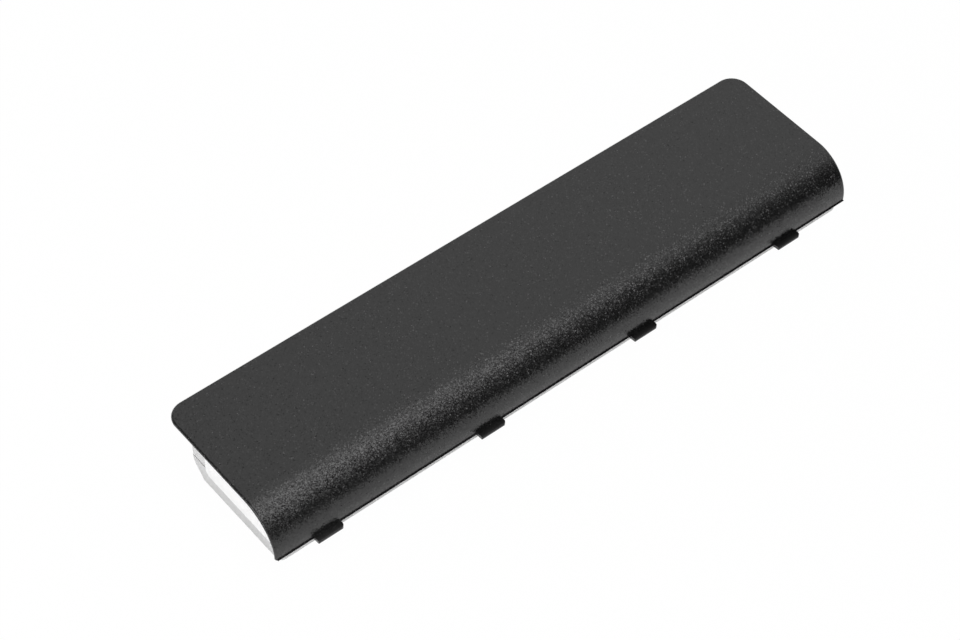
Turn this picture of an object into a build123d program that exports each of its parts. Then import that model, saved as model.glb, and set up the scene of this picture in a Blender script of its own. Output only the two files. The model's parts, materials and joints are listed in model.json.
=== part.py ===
from build123d import *
from math import radians, sin, tan
import os

# Six-cell laptop battery, in millimetres.
# X runs along its length, -Y is the front with the hooks, Z is up from the surface it rests on.

# How near an edge has to be to count as lying on a plane
touch = 0.01

# Cells, two rows of three, and what lies against their ends
cell_diameter = 18.3
cell_length = 65.0
row_names = ("front", "rear")
column_names = ("left", "middle", "right")
row_gap = 0.15
cell_seat_gap = 0.05
strip_thickness = 0.2
end_card_thickness = 0.3
card_front_radius = 7.0
end_slack = 0.1

# Cap of one cell, and the paper ring round it
cell_shoulder_drop = 0.45
cell_cap_diameter = 9.0
ring_thickness = 0.2
ring_width = 3.2
ring_cap_gap = 0.3

# Walls and gaps of the housing
floor_thickness = 0.9
cover_thickness = 1.2
back_wall = 0.9
end_wall = 1.3
wall_gap = 0.1
frame_wall = 1.0
tray_front_wall = 1.8
cover_fit = 0.15

# Outer cover
end_overhang = 3.3
flange_reach = 7.5
front_reach = 13.2
front_radius = 12.8
skirt_drop = 1.2
end_draft_degrees = 1.0
cover_corner_radius = 5.5
cover_edge_radius = 0.6
cover_rim_thickness = 0.8
cover_rim_width = 1.6
skirt_end_lift = 0.4
skirt_end_sweep = 4.0

# Narrow lip along the lower front edge of the cover, level with the tops of the hooks
lip_rise = 0.5
lip_reach = 0.34
lip_edge = 0.1

# Hook tabs on the lip, with a small radius on the left corner and a large one on the right
tab_count = 4
tab_pitch = 55.0
tab_shift = -3.65
tab_length = 8.6
tab_reach = 2.2
tab_depth = 1.2
tab_tip_height = 0.9
tab_tip_radius = 0.25
tab_corner_radii = (0.3, 1.2)
tab_clearance = 0.2

# Seam between the upper frame and the lower tray
seam_rise = 0.5
seam_gap = 0.5
tongue_height = 1.0
tongue_thickness = 0.4
tongue_clearance = 0.1

# Lower tray
tray_reveal = 0.5
skirt_gap = 0.2
tray_front_land = 0.3
tray_slope_land = 1.85
tray_slope_degrees = 49.2
tray_slope_radius = 4.0
tray_foot_radius = 0.8
body_corner_radius = 0.4
cradle_height = 5.0
cradle_thickness = 1.2
cradle_clearance = 0.1
cradle_offset = 20.0

# Upper frame
web_thickness = 1.0
window_half = 5.0
front_wall_rise = 5.5

# Bay for the circuit board, behind the rear row
bay_side_room = 17.0
bay_rim_gap = 0.2
bay_rise = 1.5
bay_wall = 1.0
bay_corner_radius = 1.5
latch_slot_length = 10.0
latch_slot_height = 3.5
latch_slot_inset = 9.0
latch_slot_rise = 1.0

# Circuit board
board_length = 100.0
board_thickness = 1.0
board_head_gap = 0.8
board_wall_gap = 0.2
post_inset = 4.0
post_width = 2.0
post_thickness = 1.0
post_height = 2.5
post_clearance = 0.1

# Connector
connector_x = 6.0
connector_length = 30.0
connector_height = 7.5
connector_clearance = 0.15
connector_chamfer = 0.4
slot_count = 7
slot_pitch = 3.9
slot_width = 1.2
slot_depth = 3.2
slot_height = 6.0
contact_leaf = 0.2
contact_height = 4.0
contact_reach = 2.6
contact_rise = 0.9

# Parts on the board, in a row to each side of the connector and in from the ends of the board
part_z_rise = 3.2
part_gap = 0.8
gauge_size = (5.2, 1.1, 4.4)
switch_size = (4.9, 1.5, 3.9)
switch_inset = 12.0
leg_length = 0.9
leg_width = 0.45
leg_thickness = 0.25
leg_pitch = 1.0
gauge_legs = 5
switch_legs = 4
fuse_inset = 9.0
fuse_size = (5.4, 1.4, 3.2)
fuse_lid_inset = 0.4
fuse_lid_height = 0.3
shunt_size = (6.3, 0.6, 3.2)
shunt_band = 4.1
shunt_band_height = 0.15
capacitor_count = 4
capacitor_pitch = 1.9
capacitor_rows = 2
capacitor_row_pitch = 3.2
capacitor_size = (0.9, 0.8, 1.6)
thermistor_size = (2.4, 1.5, 1.5)
thermistor_edge_radius = 0.4

# Nickel strips
strip_height = 7.0
strip_overreach = 4.0
strip_slot_width = 0.8
strip_slot_length = 5.0
strip_corner_radius = 0.8
tab_plate_width = 2.2
tail_height = 1.6
tail_past_board = 0.6
tail_clearance = 0.1
tail_notch_width = 1.2

# Flat insulated leads from the end strips to the board
lead_thickness = 0.8
lead_height = 1.6
lead_wall_gap = 0.2
lead_drop = 1.6
lead_bend_radius = 1.4
lead_board_gap = 0.05
lead_pass_reach = 7.0
lead_end_inset = 4.0
lead_notch_clearance = 0.5

# Label on the left end wall
label_thickness = 0.12
label_back_margin = 6.1
label_front_margin = 5.5
label_seam_drop = 2.1
label_head_gap = 3.5
label_clip = (1.2, 1.4)

# Heights
height = floor_thickness + cell_diameter + 2 * cell_seat_gap + cover_thickness
cover_under_z = height - cover_thickness
cover_low_z = height - front_radius - skirt_drop
lip_top_z = cover_low_z + lip_rise
seam_z = cover_low_z + seam_rise
cell_z = floor_thickness + cell_seat_gap + cell_diameter / 2
web_under_z = cover_under_z - web_thickness
frame_low_z = seam_z + seam_gap
ledge_z = cover_low_z - skirt_gap
label_bottom_z = seam_z - label_seam_drop
label_top_z = cover_under_z - label_head_gap
tray_slope_top = seam_z - tray_slope_land
tray_front_radius = ledge_z - tray_front_land
bay_low_z = seam_z + bay_rise
bay_floor_z = bay_low_z + bay_wall

# Lengths, each measured from the middle
row_half = (len(column_names) * cell_length + (len(column_names) + 1) * strip_thickness) / 2
inner_half = row_half + end_card_thickness + end_slack
body_half = inner_half + end_wall
cover_half = body_half + end_overhang
board_half = board_length / 2
bay_half = board_half + bay_side_room
latch_slot_x = bay_half - latch_slot_inset
post_x = board_half - post_inset
lead_pass_x = board_half + lead_pass_reach
lead_end_x = board_half - lead_end_inset

# Places along the board: leftwards from the connector, rightwards from it, and in from both ends
capacitor_width = (capacitor_count - 1) * capacitor_pitch + capacitor_size[0]
capacitor_x = connector_x - connector_length / 2 - part_gap - capacitor_width / 2
gauge_x = capacitor_x - capacitor_width / 2 - part_gap - gauge_size[0] / 2
near_switch_x = gauge_x - gauge_size[0] / 2 - part_gap - switch_size[0] / 2
thermistor_x = connector_x + connector_length / 2 + part_gap + thermistor_size[0] / 2
shunt_x = thermistor_x + thermistor_size[0] / 2 + part_gap + shunt_size[0] / 2
far_switch_x = -board_half + switch_inset
fuse_x = board_half - fuse_inset

# Depths, from the back edge of the cover to the tips of the hooks
row_pitch = cell_diameter + row_gap
cover_depth = flange_reach + back_wall + wall_gap + cell_diameter / 2 + row_pitch + front_reach
back_y = (cover_depth + tab_reach) / 2
front_y = back_y - cover_depth
body_back_y = back_y - flange_reach
inner_back_y = body_back_y - back_wall
rear_row_y = inner_back_y - wall_gap - cell_diameter / 2
front_row_y = rear_row_y - row_pitch
row_y = dict(zip(row_names, (front_row_y, rear_row_y)))
tray_slope_run = tray_slope_top / tan(radians(tray_slope_degrees))
tray_front_y = front_y + tray_reveal
tray_inner_front_y = tray_front_y + tray_front_wall
frame_front_y = front_y + cover_thickness + cover_fit
bay_back_y = back_y - cover_rim_width - bay_rim_gap
board_y = body_back_y + board_wall_gap
board_face_y = board_y + board_thickness
board_top_z = cover_under_z - board_head_gap
part_z = bay_floor_z + part_z_rise

# Leads run in the corner above the rear row
lead_y = inner_back_y - lead_wall_gap - lead_thickness / 2
lead_z = web_under_z - lead_drop
lead_board_y = board_face_y + lead_board_gap + lead_thickness / 2

tab_places = [tab_shift + tab_pitch * (i - (tab_count - 1) / 2) for i in range(tab_count)]
slot_places = [connector_x + slot_pitch * (i - (slot_count - 1) / 2) for i in range(slot_count)]
cell_starts = [
    -row_half + strip_thickness + i * (cell_length + strip_thickness) for i in range(len(column_names))
]
strip_starts = [-row_half + i * (cell_length + strip_thickness) for i in range(len(column_names) + 1)]
link_places = [start + strip_thickness / 2 for start in strip_starts[1:-1]]


def block(x, y, z):
    """Box between two limits on each axis."""
    size = (x[1] - x[0], y[1] - y[0], z[1] - z[0])
    middle = ((x[0] + x[1]) / 2, (y[0] + y[1]) / 2, (z[0] + z[1]) / 2)
    return Pos(*middle) * Box(*size)


def around(middle, width):
    """Limits of a width about its middle."""
    return (middle - width / 2, middle + width / 2)


def prism(points, radii, x):
    """Section in Y and Z, with a radius at each corner, run along X between two limits."""
    outline = FilletPolyline(*points, radius=radii, close=True)
    half = (x[1] - x[0]) / 2
    return Pos((x[0] + x[1]) / 2, 0, 0) * extrude(Plane.YZ * make_face(outline), amount=half, both=True)


def cell_envelope(row, clearance):
    """Room that a row of cells takes, over the whole inner length."""
    rod = Rot(0, 90, 0) * Cylinder(cell_diameter / 2 + clearance, 2 * inner_half)
    return Pos(0, row_y[row], cell_z) * rod


def rolled_block(thickness, margin):
    """Block under the cover's outer face, less a thickness: flat on top, rolled over the front edge."""
    top_z = height - thickness
    points = [
        (back_y + margin, top_z),
        (front_y + thickness, top_z),
        (front_y + thickness, cover_low_z - margin),
        (back_y + margin, cover_low_z - margin),
    ]
    radii = [0, front_radius - thickness, 0, 0]
    return prism(points, radii, (-cover_half - margin, cover_half + margin))


def leaning_ends():
    """Front view of the cover with ends that lean in towards the bottom."""
    lean = tan(radians(end_draft_degrees))
    top_z = height + cover_thickness
    top_half = cover_half + cover_thickness * lean
    low_half = cover_half - height * lean
    points = [(-top_half, top_z), (top_half, top_z), (low_half, 0), (-low_half, 0)]
    return extrude(Plane.XZ * make_face(Polyline(*points, close=True)), amount=cover_depth, both=True)


def swept_edge():
    """Front view of the cover with its lower edge swept up at both ends."""
    end = (cover_half, cover_low_z + skirt_end_lift)
    start = (cover_half - skirt_end_sweep, cover_low_z)
    top_z = height + cover_thickness
    edges = [
        Line((-cover_half, top_z), (cover_half, top_z)),
        Line((cover_half, top_z), end),
        TangentArc(start, end, tangent=(1, 0)),
        Line((-start[0], start[1]), start),
        TangentArc((-start[0], start[1]), (-end[0], end[1]), tangent=(-1, 0)),
        Line((-end[0], end[1]), (-cover_half, top_z)),
    ]
    return extrude(Plane.XZ * make_face(edges), amount=cover_depth, both=True)


def inside_rim():
    """Plan of the cover within its thinner rim, open to the front."""
    half = cover_half - cover_rim_width
    back = back_y - cover_rim_width
    ahead = front_y - cover_rim_width
    points = [(-half, ahead), (half, ahead), (half, back), (-half, back)]
    round_corner = cover_corner_radius - cover_rim_width
    outline = FilletPolyline(*points, radius=[0, 0, round_corner, round_corner], close=True)
    return extrude(make_face(outline), amount=height)


def front_lip():
    """Narrow lip along the lower front edge, flat on top and undercut below."""
    root_y = front_y + cover_thickness
    tip_y = front_y - lip_reach
    section = [
        (root_y, lip_top_z),
        (tip_y, lip_top_z),
        (tip_y, lip_top_z - lip_edge),
        (front_y, cover_low_z),
        (root_y, cover_low_z),
    ]
    half = cover_half - cover_edge_radius
    return prism(section, [0] * len(section), (-half, half))


def hook_tab(x):
    """Hook level with the lip, thinner towards its tip, rooted in the cover's front wall."""
    root_y = front_y + cover_thickness
    tip_y = front_y - tab_reach
    low_z = lip_top_z - tab_depth
    section = [
        (root_y, lip_top_z),
        (tip_y, lip_top_z),
        (tip_y, lip_top_z - tab_tip_height),
        (front_y, low_z),
        (root_y, low_z),
    ]
    left, right = around(x, tab_length)
    arm = prism(section, [0, tab_tip_radius, tab_tip_radius, 0, 0], (left, right))
    plan = [(left, root_y), (left, tip_y), (right, tip_y), (right, root_y)]
    outline = FilletPolyline(*plan, radius=[0, *tab_corner_radii, 0], close=True)
    return arm & extrude(make_face(outline), amount=height)


def outer_cover():
    """Rolled cover: a rounded block, hollowed to its wall and thinner at its rim, with hooks below."""
    cover = rolled_block(0, 0) & leaning_ends()
    behind = cover.edges().filter_by(lambda e: e.center().Y > back_y - touch)
    cover = fillet(behind.filter_by(lambda e: abs(e.center().X) > touch), cover_corner_radius)
    crest = cover.faces().filter_by(Axis.Z).sort_by(Axis.Z)[-1]
    roll = cover.faces().filter_by(GeomType.CYLINDER).sort_by(SortBy.AREA)[-1]
    skirt = cover.faces().filter_by(Axis.Y).sort_by(Axis.Y)[0]
    outline = [e for face in (crest, roll, skirt) for e in face.edges()]
    outline = [e for e in outline if abs(e.center().X) > touch or e.center().Y > back_y - touch]
    cover = fillet(outline, cover_edge_radius)
    cover -= rolled_block(cover_thickness, cover_thickness)
    cover -= rolled_block(cover_rim_thickness, cover_thickness) - inside_rim()
    cover += front_lip()
    cover &= swept_edge()
    for x in tab_places:
        cover += hook_tab(x)
    return cover


def tongue_ring(grow, z):
    """Rectangular ring round the inside of the walls, at the seam."""
    y = (tray_inner_front_y, inner_back_y)
    outer = block((-inner_half - grow, inner_half + grow), (y[0] - grow, y[1] + grow), z)
    return outer - block((-inner_half, inner_half), y, z)


def back_slope(wall, low_z):
    """Head and foot of the tray's sloped lower back, set in by a wall and ending at a height."""
    level_wall = wall / sin(radians(tray_slope_degrees))
    head_z = tray_slope_top * (1 + (level_wall - wall) / tray_slope_run)
    foot_y = body_back_y - tray_slope_run * (1 - low_z / tray_slope_top) - level_wall
    return (body_back_y - wall, head_z), (foot_y, low_z)


def tray_cavity():
    top_z = seam_z + tongue_height
    points = [
        (inner_back_y, top_z),
        *back_slope(back_wall, floor_thickness),
        (tray_inner_front_y, floor_thickness),
        (tray_inner_front_y, top_z),
    ]
    radii = [0, tray_slope_radius - back_wall, 0, tray_front_radius - tray_front_wall, 0]
    return prism(points, radii, (-inner_half, inner_half))


def tray_block():
    """Outside of the tray, with the edges of its end walls rounded below the ledge and at the back."""
    section = [
        (body_back_y, seam_z),
        *back_slope(0, 0),
        (tray_front_y, 0),
        (tray_front_y, ledge_z),
        (frame_front_y, ledge_z),
        (frame_front_y, seam_z),
    ]
    radii = [0, tray_slope_radius, tray_foot_radius, tray_front_radius, 0, 0, 0]
    tray = prism(section, radii, (-body_half, body_half))
    ends = tray.faces().filter_by(Axis.X).edges()
    low = ends.filter_by(lambda e: e.center().Z < ledge_z - touch)
    upright = ends.filter_by(lambda e: e.center().Y > body_back_y - touch)
    return fillet(low + upright, body_corner_radius)


def lower_tray():
    tray = tray_block()
    cavity = tray_cavity()
    tray -= cavity
    tray += tongue_ring(tongue_thickness, (seam_z, seam_z + tongue_height))
    for start in cell_starts:
        for side in (-1, 1):
            x = around(start + cell_length / 2 + side * cradle_offset, cradle_thickness)
            rib = cavity & block(x, (front_y, back_y), (0, cradle_height))
            for row in row_names:
                rib -= cell_envelope(row, cradle_clearance)
            tray += rib
    for x in tab_places:
        tray -= block(
            around(x, tab_length + 2 * tab_clearance),
            (front_y - tab_reach, front_y + cover_thickness + tab_clearance),
            (lip_top_z - tab_depth - tab_clearance, seam_z),
        )
    return tray


def frame_shell():
    """Upper half of the body: walls under the cover, with windows over both rows of cells."""
    roll = front_radius - cover_thickness
    outer_points = [
        (body_back_y, frame_low_z),
        (body_back_y, cover_under_z),
        (frame_front_y, cover_under_z),
        (frame_front_y, frame_low_z),
    ]
    shell = prism(outer_points, [0, 0, roll, 0], (-body_half, body_half))
    upright = shell.edges().filter_by(Axis.Z).sort_by(Axis.Y)[-2:]
    shell = fillet(upright, body_corner_radius)
    inner_points = [
        (inner_back_y, frame_low_z),
        (inner_back_y, web_under_z),
        (frame_front_y + frame_wall, web_under_z),
        (frame_front_y + frame_wall, frame_low_z),
    ]
    inside = (-inner_half, inner_half)
    shell -= prism(inner_points, [0, 0, roll - frame_wall, 0], inside)
    window = (rear_row_y - window_half, rear_row_y + window_half)
    shell -= block(inside, window, (web_under_z, cover_under_z))
    front_window = (front_y, front_row_y + window_half)
    shell -= block(inside, front_window, (frame_low_z + front_wall_rise, cover_under_z))
    return shell - tongue_ring(tongue_thickness + tongue_clearance, (frame_low_z, seam_z + tongue_height))


def board_bay():
    """Box under the cover's back overhang, open on top, with a post each side to hold the board."""
    outside = block((-bay_half, bay_half), (body_back_y, bay_back_y), (bay_low_z, cover_under_z))
    back_corners = outside.edges().filter_by(Axis.Z).sort_by(Axis.Y)[-2:]
    outside = fillet(back_corners, bay_corner_radius)
    room_x = (-bay_half + bay_wall, bay_half - bay_wall)
    room = block(room_x, (body_back_y, bay_back_y - bay_wall), (bay_floor_z, cover_under_z))
    bay = outside - room
    post_y = board_face_y + post_clearance
    for side in (-1, 1):
        bay += block(
            around(side * post_x, post_width),
            (post_y, post_y + post_thickness),
            (bay_floor_z, bay_floor_z + post_height),
        )
        latch_z = bay_floor_z + latch_slot_rise
        bay -= block(
            around(side * latch_slot_x, latch_slot_length),
            (bay_back_y - bay_wall, bay_back_y),
            (latch_z, latch_z + latch_slot_height),
        )
    bay -= block(
        around(connector_x, connector_length + 2 * connector_clearance),
        (board_face_y - connector_clearance, bay_back_y),
        (bay_low_z, bay_low_z + connector_height + connector_clearance),
    )
    return bay


def upper_frame():
    frame = frame_shell() + board_bay()
    through = (inner_back_y, body_back_y)
    for x in link_places:
        low_z = lead_z - tail_clearance - tail_height / 2
        frame -= block(around(x, tail_notch_width), through, (low_z, web_under_z))
    for side in (-1, 1):
        width = lead_thickness + 2 * lead_notch_clearance
        low_z = lead_z - lead_height / 2 - lead_notch_clearance
        frame -= block(around(side * lead_pass_x, width), through, (low_z, web_under_z))
    return frame


def end_label():
    """White film across the seam, with its lower back corner cut off."""
    back = body_back_y - label_back_margin
    front = tray_front_y + label_front_margin
    points = [
        (back, label_top_z),
        (back, label_bottom_z + label_clip[1]),
        (back - label_clip[0], label_bottom_z),
        (front, label_bottom_z),
        (front, label_top_z),
    ]
    return prism(points, [0, 0, 0, 0, 0], (-body_half - label_thickness, -body_half))


def cell(row, start):
    """Sealed can in its sleeve with a raised cap, turned about its own axis."""
    radius = cell_diameter / 2
    shoulder = cell_length - cell_shoulder_drop
    cap = cell_cap_diameter / 2
    points = [
        (0, 0),
        (0, radius),
        (shoulder, radius),
        (shoulder, cap),
        (cell_length, cap),
        (cell_length, 0),
    ]
    profile = make_face(Polyline(*points, close=True))
    return Pos(start, row_y[row], cell_z) * revolve(profile, Axis.X)


def insulating_rings():
    """Paper rings on the shoulders of the cells, round their caps."""
    inner = cell_cap_diameter / 2 + ring_cap_gap
    ring = Cylinder(inner + ring_width, ring_thickness) - Cylinder(inner, ring_thickness)
    rings = []
    for start in cell_starts:
        x = start + cell_length - cell_shoulder_drop + ring_thickness / 2
        for row in row_names:
            rings.append(Pos(x, row_y[row], cell_z) * Rot(0, 90, 0) * ring)
    return rings


def strip_plate(start):
    """Nickel plate on the ends of both rows, slotted between its welds."""
    y = (front_row_y - strip_overreach, rear_row_y + strip_overreach)
    z = around(cell_z, strip_height)
    corners = [(y[0], z[0]), (y[1], z[0]), (y[1], z[1]), (y[0], z[1])]
    x = (start, start + strip_thickness)
    plate = prism(corners, [strip_corner_radius] * len(corners), x)
    for row in row_names:
        slot_y = around(row_y[row], strip_slot_length)
        plate -= block(x, slot_y, around(cell_z, strip_slot_width))
    return plate


def strip_riser(start):
    """Upright of a strip, from its plate to the corner where the leads run."""
    x = (start, start + strip_thickness)
    side_y = (rear_row_y, inner_back_y - wall_gap)
    low = around(cell_z, tab_plate_width)
    up_y = (side_y[1] - tab_plate_width, side_y[1])
    return block(x, side_y, low) + block(x, up_y, (low[0], lead_z + tail_height / 2))


def end_strip(start):
    return strip_plate(start) + strip_riser(start)


def link_strip(start):
    """Strip between two pairs of cells, with a tail through the wall to a notch in the board."""
    x = (start, start + strip_thickness)
    tail_y = (lead_y - tab_plate_width / 2, board_face_y + tail_past_board)
    return strip_plate(start) + strip_riser(start) + block(x, tail_y, around(lead_z, tail_height))


def end_card(x):
    """Card over the ends of both rows, cut to the tray's sloped back."""
    front = front_row_y - cell_diameter / 2
    head, foot = back_slope(back_wall + wall_gap, floor_thickness)
    corners = [(front, floor_thickness), foot, head, (head[0], web_under_z), (front, web_under_z)]
    head_radius = tray_slope_radius - back_wall - wall_gap
    return prism(corners, [card_front_radius, 0, head_radius, 0, card_front_radius], x)


def protection_board():
    board = block(around(0, board_length), (board_y, board_face_y), (bay_floor_z, board_top_z))
    for x in link_places:
        width = strip_thickness + 2 * tail_clearance
        low_z = lead_z - tail_height / 2 - tail_clearance
        board -= block(around(x, width), (board_y, board_face_y), (low_z, board_top_z))
    return board


def connector_housing():
    """Slotted block, flush with the outside of the bay, open to the back and below."""
    x = around(connector_x, connector_length)
    z = (bay_low_z, bay_low_z + connector_height)
    housing = block(x, (board_face_y, bay_back_y), z)
    rear_face = housing.faces().sort_by(Axis.Y)[-1]
    housing = chamfer(rear_face.edges(), connector_chamfer)
    for place in slot_places:
        slot = (bay_back_y - slot_depth, bay_back_y)
        housing -= block(around(place, slot_width), slot, (z[0], z[0] + slot_height))
    return housing


def connector_contacts():
    """Fork contacts, one in each slot, lying on its walls."""
    root_y = bay_back_y - slot_depth
    low_z = bay_low_z + contact_rise
    contacts = []
    for place in slot_places:
        z = (low_z, low_z + contact_height)
        fork = block(around(place, slot_width), (root_y, root_y + contact_reach), z)
        gap = slot_width - 2 * contact_leaf
        fork -= block(around(place, gap), (root_y + contact_leaf, root_y + contact_reach), z)
        contacts.append(fork)
    return contacts


def chip(x, size, legs):
    """Moulded chip on the face of the board, with a row of legs above and below."""
    body_z = around(part_z, size[2])
    body = block(around(x, size[0]), (board_face_y, board_face_y + size[1]), body_z)
    outer_edges = body.faces().sort_by(Axis.Y)[-1].edges()
    body = chamfer(outer_edges, leg_thickness)
    for i in range(legs):
        leg_x = around(x + leg_pitch * (i - (legs - 1) / 2), leg_width)
        leg_y = (board_face_y, board_face_y + leg_thickness)
        body += block(leg_x, leg_y, around(part_z, size[2] + 2 * leg_length))
    return body


def charge_switches():
    return [chip(x, switch_size, switch_legs) for x in (near_switch_x, far_switch_x)]


def capped_block(x, z, size, cap_length, cap_depth, cap_rise):
    """Plain block on the board with a raised patch in the middle of its face."""
    top_y = board_face_y + size[1]
    body = block(around(x, size[0]), (board_face_y, top_y), around(z, size[2]))
    return body + block(around(x, cap_length), (top_y, top_y + cap_rise), around(z, cap_depth))


def cell_fuse():
    lid = (fuse_size[0] - 2 * fuse_lid_inset, fuse_size[2] - 2 * fuse_lid_inset)
    return capped_block(fuse_x, part_z, fuse_size, lid[0], lid[1], fuse_lid_height)


def sense_resistor():
    return capped_block(shunt_x, part_z, shunt_size, shunt_band, shunt_size[2], shunt_band_height)


def chip_capacitors():
    capacitors = []
    for i in range(capacitor_count):
        x = capacitor_x - capacitor_pitch * (i - (capacitor_count - 1) / 2)
        for j in range(capacitor_rows):
            z = part_z + capacitor_row_pitch * (j - (capacitor_rows - 1) / 2)
            y = (board_face_y, board_face_y + capacitor_size[1])
            capacitors.append(block(around(x, capacitor_size[0]), y, around(z, capacitor_size[2])))
    return capacitors


def thermistor():
    """Small moulded bead on the board."""
    z = around(part_z, thermistor_size[2])
    y = (board_face_y, board_face_y + thermistor_size[1])
    bead = block(around(thermistor_x, thermistor_size[0]), y, z)
    return fillet(bead.faces().sort_by(Axis.Y)[-1].edges(), thermistor_edge_radius)


def lead(side):
    """Flat lead from an end strip, along the corner over the rear row, to the face of the board."""
    start_x = row_half - strip_thickness
    route = [
        (side * start_x, lead_y, lead_z),
        (side * lead_pass_x, lead_y, lead_z),
        (side * lead_pass_x, lead_board_y, lead_z),
        (side * lead_end_x, lead_board_y, lead_z),
    ]
    path = FilletPolyline(*route, radius=lead_bend_radius)
    start = Plane(route[0], x_dir=(0, 0, 1), z_dir=(-side, 0, 0))
    return sweep(start * Rectangle(lead_height, lead_thickness), path=path)


def all_pieces():
    pieces = {
        "outer_cover": outer_cover(),
        "upper_frame": upper_frame(),
        "lower_tray": lower_tray(),
        "end_label": end_label(),
        "negative_strip": end_strip(strip_starts[0]),
        "link_strip_left": link_strip(strip_starts[1]),
        "link_strip_right": link_strip(strip_starts[2]),
        "positive_strip": end_strip(strip_starts[3]),
        "insulating_rings": insulating_rings(),
        "end_card_left": end_card((-row_half - end_card_thickness, -row_half)),
        "end_card_right": end_card((row_half, row_half + end_card_thickness)),
        "protection_board": protection_board(),
        "connector_housing": connector_housing(),
        "connector_contacts": connector_contacts(),
        "gauge_chip": chip(gauge_x, gauge_size, gauge_legs),
        "charge_switches": charge_switches(),
        "cell_fuse": cell_fuse(),
        "sense_resistor": sense_resistor(),
        "chip_capacitors": chip_capacitors(),
        "thermistor": thermistor(),
        "positive_lead": lead(1),
        "negative_lead": lead(-1),
    }
    for row in row_names:
        for column, start in zip(column_names, cell_starts):
            pieces[f"cell_{row}_{column}"] = cell(row, start)
    return pieces


os.makedirs("parts", exist_ok=True)
for name, piece in all_pieces().items():
    solids = piece if isinstance(piece, list) else [piece]
    export_step(Compound(children=solids) if len(solids) > 1 else solids[0], f"parts/{name}.step")
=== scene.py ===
"""Looks of the laptop battery: finishes for each piece, a white table, soft light and the camera."""
import json
import math

import bpy
from mathutils import Matrix, Vector


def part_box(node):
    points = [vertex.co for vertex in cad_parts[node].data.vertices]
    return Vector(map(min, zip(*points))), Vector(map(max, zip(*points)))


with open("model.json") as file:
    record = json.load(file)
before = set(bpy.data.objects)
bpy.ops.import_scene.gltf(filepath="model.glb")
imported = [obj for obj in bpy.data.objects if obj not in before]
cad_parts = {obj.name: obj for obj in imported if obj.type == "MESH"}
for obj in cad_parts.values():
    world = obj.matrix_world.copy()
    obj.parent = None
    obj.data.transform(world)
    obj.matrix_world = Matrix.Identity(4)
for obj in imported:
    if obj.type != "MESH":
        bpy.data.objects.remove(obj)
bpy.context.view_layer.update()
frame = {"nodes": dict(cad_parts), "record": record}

# Camera, fitted to the edges of the cover in the photograph (metres, degrees, millimetres of lens)
camera_target = Vector((-0.0171, -0.00185, 0.0205))
camera_distance = 0.7137
camera_azimuth = 40.5
camera_elevation = 50.0
camera_roll = 1.63
camera_lens = 98.1
camera_sensor = 36.0

# Table: half width and drop below the battery (metres), grey, and shares of white seen directly and mirrored
floor_half = 4.0
floor_drop = 0.0002
floor_grey = 0.86
floor_white_share = 0.985
floor_mirror_share = 0.95

# Room: brightness in front and at the back, and the stretch of the direction's Y over which it changes
room_front = 0.03
room_back = 0.12
room_turn = (-0.35, 0.42)

# Soft lights in the room, by X and Y of the direction; the core is the share of the reach that is full
glows = {
    "window": dict(middle=(0.43, 0.28), reach=(0.50, 0.90), core=0.54, brightness=0.81),
    "softbox": dict(middle=(0.08, -0.32), reach=(0.36, 0.83), core=0.09, brightness=4.40),
}

# Lamps: where each panel stands and aims, its width and height (metres), and its brightness
lamps = {
    "left_panel": dict(spot=(-0.80, -0.10, 0.34), aim=(-0.1, 0.0, 0.01), size=(0.7, 0.5), brightness=3.75),
    "back_panel": dict(spot=(-0.2, 0.95, 0.30), aim=(0.0, 0.02, 0.01), size=(0.9, 0.5), brightness=1.0),
    "right_panel": dict(spot=(0.9, -0.2, 0.30), aim=(0.1, 0.0, 0.01), size=(0.5, 0.5), brightness=1.2),
}

# Cover: how far behind the hooks' tips its grain starts and is full, past the smooth lip, which with the
# hooks is painted a darker black as shade (metres)
grain_start = 0.00195
grain_full = 0.00225

# Cover's grain: size (metres), lean of most grains and of the few that sparkle, and where sparkling sets in
cover_grain_size = 0.00026
grain_lean = 0.20
sparkle_lean = 0.75
sparkle_range = (0.56, 0.85)

# Painted glints in the cover, pale specks of colour standing in for grains that catch the light: spacing
# (metres), and the shares of it at which a glint starts to fade and ends
painted_glint_spacing = 0.0020
painted_glint_edge = (0.04, 0.12)

# Roughness of the smooth lip and hooks, as a share of the grained cover's
smooth_polish = 0.6

# How squarely a face of a cell looks along X to be an end of the can
can_end_facing = 0.9

# Middle of a noise's range, over which most finishes change
noise_middle = (0.3, 0.7)

# Sockets of a colour mix, by number because their names repeat
mix_inputs = (0, 6, 7)
mix_result = 2


def new_finish(name):
    """Node material, its tree and its shader."""
    material = bpy.data.materials.new(name)
    material.use_nodes = True
    tree = material.node_tree
    return material, tree, tree.nodes["Principled BSDF"]


def feed(tree, socket, value):
    """Set a socket to a plain value, or link another node's output to it."""
    if isinstance(value, bpy.types.NodeSocket):
        tree.links.new(value, socket)
    else:
        socket.default_value = value


def add(tree, kind, settings=None, **inputs):
    """New node with its settings and inputs; spaces in a socket's name are written as underscores."""
    node = tree.nodes.new(kind)
    for name, value in (settings or {}).items():
        setattr(node, name, value)
    for name, value in inputs.items():
        feed(tree, node.inputs[name.replace("_", " ")], value)
    return node


def place(tree):
    """Position on the model, in metres."""
    return add(tree, "ShaderNodeTexCoord").outputs["Object"]


def part_of(tree, vector, axis):
    """One component of a vector."""
    return add(tree, "ShaderNodeSeparateXYZ", Vector=vector).outputs[axis]


def noise(tree, grain_size, detail=2.0, roughness=0.5, where=None):
    """Noise with grains of a size in metres, from 0 to 1."""
    node = add(
        tree, "ShaderNodeTexNoise", Vector=where or place(tree), Scale=1.0 / grain_size, Detail=detail,
        Roughness=roughness,
    )
    return node.outputs["Fac"]


def cells(tree, size, feature="F1"):
    """Irregular cells of a size in metres, with a colour and a distance each."""
    node = add(tree, "ShaderNodeTexVoronoi", {"feature": feature}, Vector=place(tree), Scale=1.0 / size)
    return node.outputs


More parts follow.
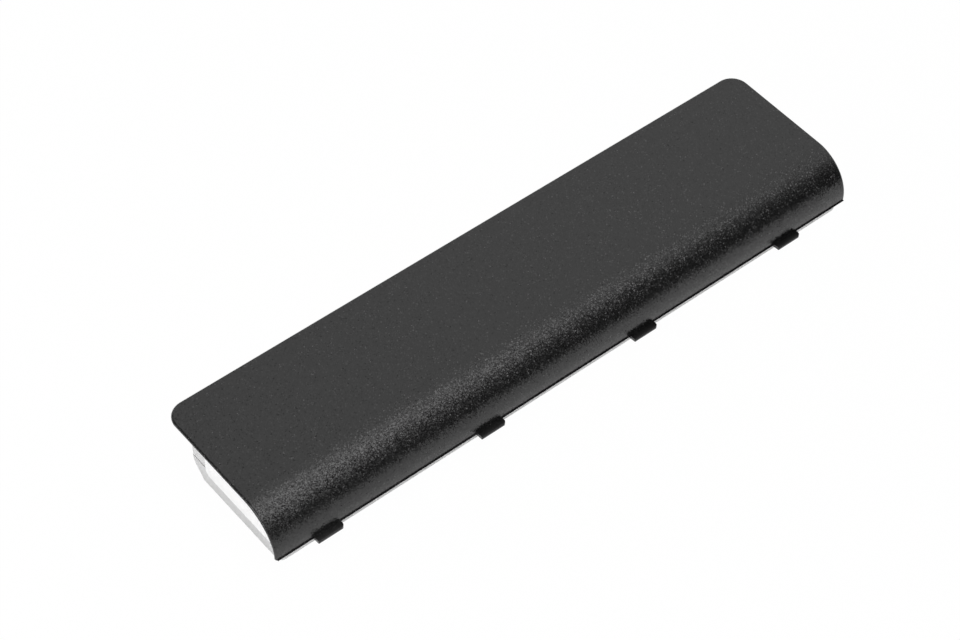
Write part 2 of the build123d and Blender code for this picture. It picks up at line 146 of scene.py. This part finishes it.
def ramp(tree, value, low, high, start=0.0, stop=1.0, smooth=False):
    """Value mapped from low..high to start..stop, held at both ends."""
    node = add(
        tree, "ShaderNodeMapRange", {"interpolation_type": "SMOOTHSTEP" if smooth else "LINEAR"},
        Value=value, From_Min=low, From_Max=high, To_Min=start, To_Max=stop,
    )
    return node.outputs["Result"]


def math_node(tree, operation, *values):
    """One arithmetic step."""
    node = add(tree, "ShaderNodeMath", {"operation": operation})
    for socket, value in zip(node.inputs, values):
        feed(tree, socket, value)
    return node.outputs["Value"]


def vector_math(tree, operation, *vectors, result="Vector"):
    """One step on vectors."""
    node = add(tree, "ShaderNodeVectorMath", {"operation": operation})
    for socket, vector in zip(node.inputs, vectors):
        feed(tree, socket, vector)
    return node.outputs[result]


def blend_colours(tree, share, first, second):
    """Colour between two colours."""
    node = add(tree, "ShaderNodeMix", {"data_type": "RGBA"})
    for index, value in zip(mix_inputs, (share, first, second)):
        feed(tree, node.inputs[index], value)
    return node.outputs[mix_result]


def bump(tree, height, depth, below=None):
    """Surface relief of a depth in metres, on top of another relief where one is given."""
    node = add(tree, "ShaderNodeBump", Strength=1.0, Distance=depth, Height=height)
    if below is not None:
        feed(tree, node.inputs["Normal"], below)
    return node.outputs["Normal"]


def grey(level, warm=0.0):
    """Neutral colour, a little warmer or cooler where asked."""
    return (level * (1.0 + warm), level, level * (1.0 - warm), 1.0)


def coat(tree, shader, colour, rough, relief):
    """Feed a shader's colour, roughness and relief."""
    feed(tree, shader.inputs["Base Color"], colour)
    feed(tree, shader.inputs["Roughness"], rough)
    feed(tree, shader.inputs["Normal"], relief)


def facets(tree, share):
    """Normal of a surface made of small flat grains, each leaning its own way and a few of them far."""
    mean_colour = (0.5, 0.5, 0.5)
    lean = vector_math(tree, "SUBTRACT", cells(tree, cover_grain_size)["Color"], mean_colour)
    amount = vector_math(tree, "LENGTH", lean, result="Value")
    strength = ramp(tree, amount, *sparkle_range, grain_lean, sparkle_lean)
    strength = math_node(tree, "MULTIPLY", strength, share)
    flat = add(tree, "ShaderNodeNewGeometry").outputs["Normal"]
    tilted = vector_math(tree, "ADD", flat, vector_math(tree, "MULTIPLY", lean, strength))
    return vector_math(tree, "NORMALIZE", tilted)


def cover_plastic():
    """Black plastic with a grain that sparkles where it faces a light, pale painted glints, and a smooth lip
    and hooks painted darker as shade.
    """
    material, tree, shader = new_finish("cover_plastic")
    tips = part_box("outer_cover")[0].y
    grained_unshaded = ramp(tree, part_of(tree, place(tree), "Y"), tips + grain_start, tips + grain_full)
    fine = noise(tree, grain_size=0.00018, detail=1.0)
    mottle = noise(tree, grain_size=0.004, detail=3.0)
    shade = ramp(tree, mottle, *noise_middle)
    # Pale specks painted into the colour (grey 0.06): painted glints, standing in for grains that catch the
    # light
    painted_glint = ramp(tree, cells(tree, painted_glint_spacing)["Distance"], *painted_glint_edge, start=1.0, stop=0.0, smooth=True)
    painted_glint = math_node(tree, "MULTIPLY", painted_glint, grained_unshaded)
    black = blend_colours(tree, shade, grey(0.0040), grey(0.0055))
    # The smooth lip and hooks are painted a darker black (grey 0.0015): painted shade under the cover's
    # front roll
    black = blend_colours(tree, grained_unshaded, grey(0.0015), black)
    colour = blend_colours(tree, painted_glint, black, grey(0.06))
    satin = ramp(tree, mottle, *noise_middle, start=0.21, stop=0.25)
    polish = ramp(tree, grained_unshaded, 0.0, 1.0, start=smooth_polish, stop=1.0)
    rough = math_node(tree, "MULTIPLY", satin, polish)
    coat(tree, shader, colour, rough, bump(tree, fine, depth=0.00001, below=facets(tree, grained_unshaded)))
    shader.inputs["IOR"].default_value = 1.54
    return material


def body_plastic():
    """Light grey moulded plastic, nearly smooth, with a faint flow mottle."""
    material, tree, shader = new_finish("body_plastic")
    mottle = noise(tree, grain_size=0.006, detail=3.0)
    skin = noise(tree, grain_size=0.0003, detail=1.0)
    colour = blend_colours(tree, ramp(tree, mottle, *noise_middle), grey(0.60), grey(0.66))
    rough = ramp(tree, skin, *noise_middle, start=0.42, stop=0.52)
    coat(tree, shader, colour, rough, bump(tree, skin, depth=0.000012))
    return material


def label_film():
    """Bare white label film with a slight gloss and a hint of unevenness."""
    material, tree, shader = new_finish("label_film")
    wave = noise(tree, grain_size=0.005, detail=1.0)
    fibre = noise(tree, grain_size=0.0004)
    colour = blend_colours(tree, fibre, grey(0.93), grey(0.96))
    rough = ramp(tree, fibre, *noise_middle, start=0.28, stop=0.36)
    coat(tree, shader, colour, rough, bump(tree, wave, depth=0.00006))
    return material


def cell_sleeve():
    """Blue shrink sleeve, with bare steel where the ends of the can face along the length."""
    material, tree, shader = new_finish("cell_sleeve")
    facing = add(tree, "ShaderNodeTexCoord").outputs["Normal"]
    along = math_node(tree, "ABSOLUTE", part_of(tree, facing, "X"))
    steel = math_node(tree, "GREATER_THAN", along, can_end_facing)
    wrinkle = noise(tree, grain_size=0.003)
    sleeve = blend_colours(tree, wrinkle, (0.10, 0.26, 0.38, 1.0), (0.16, 0.36, 0.50, 1.0))
    colour = blend_colours(tree, steel, sleeve, grey(0.55))
    rough = ramp(tree, wrinkle, *noise_middle, start=0.25, stop=0.35)
    coat(tree, shader, colour, rough, bump(tree, wrinkle, depth=0.00003))
    feed(tree, shader.inputs["Metallic"], steel)
    return material


def insulating_card():
    """Pale fibre card."""
    material, tree, shader = new_finish("insulating_card")
    fibre = noise(tree, grain_size=0.0006, detail=4.0, roughness=0.7)
    colour = blend_colours(tree, fibre, grey(0.58, warm=0.08), grey(0.78, warm=0.06))
    coat(tree, shader, colour, rough=0.8, relief=bump(tree, fibre, depth=0.00005))
    return material


def board_laminate():
    """Green solder mask with paler copper tracks showing through it."""
    material, tree, shader = new_finish("board_laminate")
    edge = cells(tree, size=0.003, feature="DISTANCE_TO_EDGE")["Distance"]
    track = ramp(tree, edge, low=0.05, high=0.09, start=1.0, stop=0.0)
    colour = blend_colours(tree, track, (0.012, 0.12, 0.05, 1.0), (0.05, 0.28, 0.12, 1.0))
    coat(tree, shader, colour, rough=0.3, relief=bump(tree, track, depth=0.00003))
    return material


# Metals: colours of the rolling marks and roughness
metals = {
    "nickel": dict(dark=grey(0.58, warm=0.03), light=grey(0.74, warm=0.03), rough=0.32),
    "contact_metal": dict(dark=(0.70, 0.50, 0.20, 1.0), light=(0.85, 0.66, 0.32, 1.0), rough=0.22),
}

# Rolling marks: stretch along X, Y and Z, range of their noise, and how far the roughness strays
mark_stretch = (0.06, 1.0, 1.0)
mark_range = (0.2, 0.8)
metal_rough_spread = 0.06


def brushed_metal(name, dark, light, rough):
    """Sheet metal with fine rolling marks along its length."""
    material, tree, shader = new_finish(name)
    stretched = add(tree, "ShaderNodeMapping", Vector=place(tree), Scale=mark_stretch).outputs["Vector"]
    marks = noise(tree, grain_size=0.0002, detail=3.0, where=stretched)
    colour = blend_colours(tree, marks, dark, light)
    rough = ramp(tree, marks, *mark_range, rough - metal_rough_spread, rough + metal_rough_spread)
    coat(tree, shader, colour, rough, bump(tree, marks, depth=0.000006))
    shader.inputs["Metallic"].default_value = 1.0
    return material


# Plain mouldings: colours, size of the skin's grain (metres) and roughness
mouldings = {
    "connector_plastic": dict(dark=grey(0.014), light=grey(0.022), grain_size=0.0004, rough=0.45),
    "chip_resin": dict(dark=grey(0.02), light=grey(0.04), grain_size=0.0003, rough=0.6),
    "ceramic": dict(
        dark=(0.50, 0.40, 0.28, 1.0), light=(0.66, 0.56, 0.42, 1.0), grain_size=0.0005, rough=0.55),
    "positive_insulation": dict(
        dark=(0.38, 0.02, 0.02, 1.0), light=(0.52, 0.035, 0.03, 1.0), grain_size=0.0008, rough=0.5),
    "negative_insulation": dict(dark=grey(0.012), light=grey(0.025), grain_size=0.0008, rough=0.5),
}

# How far a moulding's roughness strays, and the depth of its skin as a share of the grain
moulding_rough_spread = 0.05
skin_depth_share = 0.05


def dull_plastic(name, dark, light, grain_size, rough):
    """Moulded plastic, resin or rubber with a fine skin."""
    material, tree, shader = new_finish(name)
    skin = noise(tree, grain_size)
    colour = blend_colours(tree, skin, dark, light)
    rough = ramp(tree, skin, *noise_middle, rough - moulding_rough_spread, rough + moulding_rough_spread)
    coat(tree, shader, colour, rough, bump(tree, skin, depth=grain_size * skin_depth_share))
    return material


def dress_nodes():
    """Give every node the finish of its slot in the record."""
    finishes = {
        "cover_plastic": cover_plastic(),
        "body_plastic": body_plastic(),
        "label_film": label_film(),
        "cell_sleeve": cell_sleeve(),
        "insulating_card": insulating_card(),
        "board_laminate": board_laminate(),
    }
    for slot, look in metals.items():
        finishes[slot] = brushed_metal(slot, **look)
    for slot, look in mouldings.items():
        finishes[slot] = dull_plastic(slot, **look)
    for subpart in frame["record"]["subparts"]:
        frame["nodes"][subpart["node"]].data.materials[0] = finishes[subpart["material_slot"]]


def white_paper():
    """Matt paper, nearly plain white to the camera and in reflections, with a faint shadow."""
    material, tree, shader = new_finish("white_paper")
    tree.nodes.remove(shader)
    path = add(tree, "ShaderNodeLightPath").outputs
    mirrored = math_node(tree, "MAXIMUM", path["Is Glossy Ray"], path["Is Transmission Ray"])
    mirrored = math_node(tree, "MULTIPLY", mirrored, floor_mirror_share)
    direct = math_node(tree, "MULTIPLY", path["Is Camera Ray"], floor_white_share)
    share = math_node(tree, "MAXIMUM", mirrored, direct)
    matt = add(tree, "ShaderNodeBsdfDiffuse", Color=grey(floor_grey)).outputs[0]
    plain_white = add(tree, "ShaderNodeEmission", Color=grey(1.0), Strength=1.0).outputs[0]
    mixed = add(tree, "ShaderNodeMixShader")
    for socket, value in zip(mixed.inputs, (share, matt, plain_white)):
        feed(tree, socket, value)
    feed(tree, tree.nodes["Material Output"].inputs["Surface"], mixed.outputs[0])
    return material


def make_floor():
    """Wide sheet of white paper that the battery lies on."""
    corners = [(-1, -1), (1, -1), (1, 1), (-1, 1)]
    points = [(x * floor_half, y * floor_half, -floor_drop) for x, y in corners]
    mesh = bpy.data.meshes.new("floor")
    mesh.from_pydata(points, [], [(0, 1, 2, 3)])
    mesh.materials.append(white_paper())
    floor = bpy.data.objects.new("floor", mesh)
    bpy.context.scene.collection.objects.link(floor)


def glow(tree, way, middle, reach, core, brightness):
    """Soft light in part of the room: full in its core, and fading to nothing at its reach."""
    offset = vector_math(tree, "SUBTRACT", way, (*middle, 0.0))
    offset = vector_math(tree, "MULTIPLY", offset, (1.0 / reach[0], 1.0 / reach[1], 0.0))
    far = vector_math(tree, "LENGTH", offset, result="Value")
    return ramp(tree, far, core, 1.0, start=brightness, stop=0.0, smooth=True)


def make_surround():
    """Dim room, dark in front, with soft lights high up; white to the camera."""
    world = bpy.data.worlds.new("surround")
    world.use_nodes = True
    tree = world.node_tree
    way = add(tree, "ShaderNodeTexCoord").outputs["Generated"]
    light = ramp(tree, part_of(tree, way, "Y"), *room_turn, room_front, room_back, smooth=True)
    for look in glows.values():
        light = math_node(tree, "ADD", light, glow(tree, way, **look))
    camera_ray = add(tree, "ShaderNodeLightPath").outputs["Is Camera Ray"]
    background = tree.nodes["Background"]
    feed(tree, background.inputs["Strength"], math_node(tree, "MAXIMUM", light, camera_ray))
    feed(tree, background.inputs["Color"], grey(1.0))
    bpy.context.scene.world = world


def make_lamp(name, spot, aim, size, brightness):
    """Soft panel, whose power follows from its brightness and area."""
    width, height = size
    data = bpy.data.lights.new(name, "AREA")
    data.shape = "RECTANGLE"
    data.size = width
    data.size_y = height
    data.energy = brightness * math.pi * width * height
    lamp = bpy.data.objects.new(name, data)
    lamp.location = spot
    lamp.rotation_euler = (Vector(aim) - Vector(spot)).to_track_quat("-Z", "Y").to_euler()
    bpy.context.scene.collection.objects.link(lamp)


def make_camera():
    """Camera at the photograph's viewing angle."""
    turn = math.radians(camera_azimuth)
    tilt = math.radians(camera_elevation)
    lean = math.radians(camera_roll)
    forward = Vector((math.sin(turn) * math.cos(tilt), math.cos(turn) * math.cos(tilt), -math.sin(tilt)))
    level = Vector((math.cos(turn), -math.sin(turn), 0.0))
    right = level * math.cos(lean) + level.cross(forward) * math.sin(lean)
    up = right.cross(forward)
    facing = Matrix((right, up, -forward)).transposed().to_4x4()
    data = bpy.data.cameras.new("camera")
    data.sensor_width = camera_sensor
    data.lens = camera_lens
    camera = bpy.data.objects.new("camera", data)
    camera.matrix_world = Matrix.Translation(camera_target - forward * camera_distance) @ facing
    bpy.context.scene.collection.objects.link(camera)
    bpy.context.scene.camera = camera


dress_nodes()
make_floor()
make_surround()
for lamp_name, lamp_look in lamps.items():
    make_lamp(lamp_name, **lamp_look)
make_camera()
bpy.context.scene.view_settings.view_transform = "Standard"
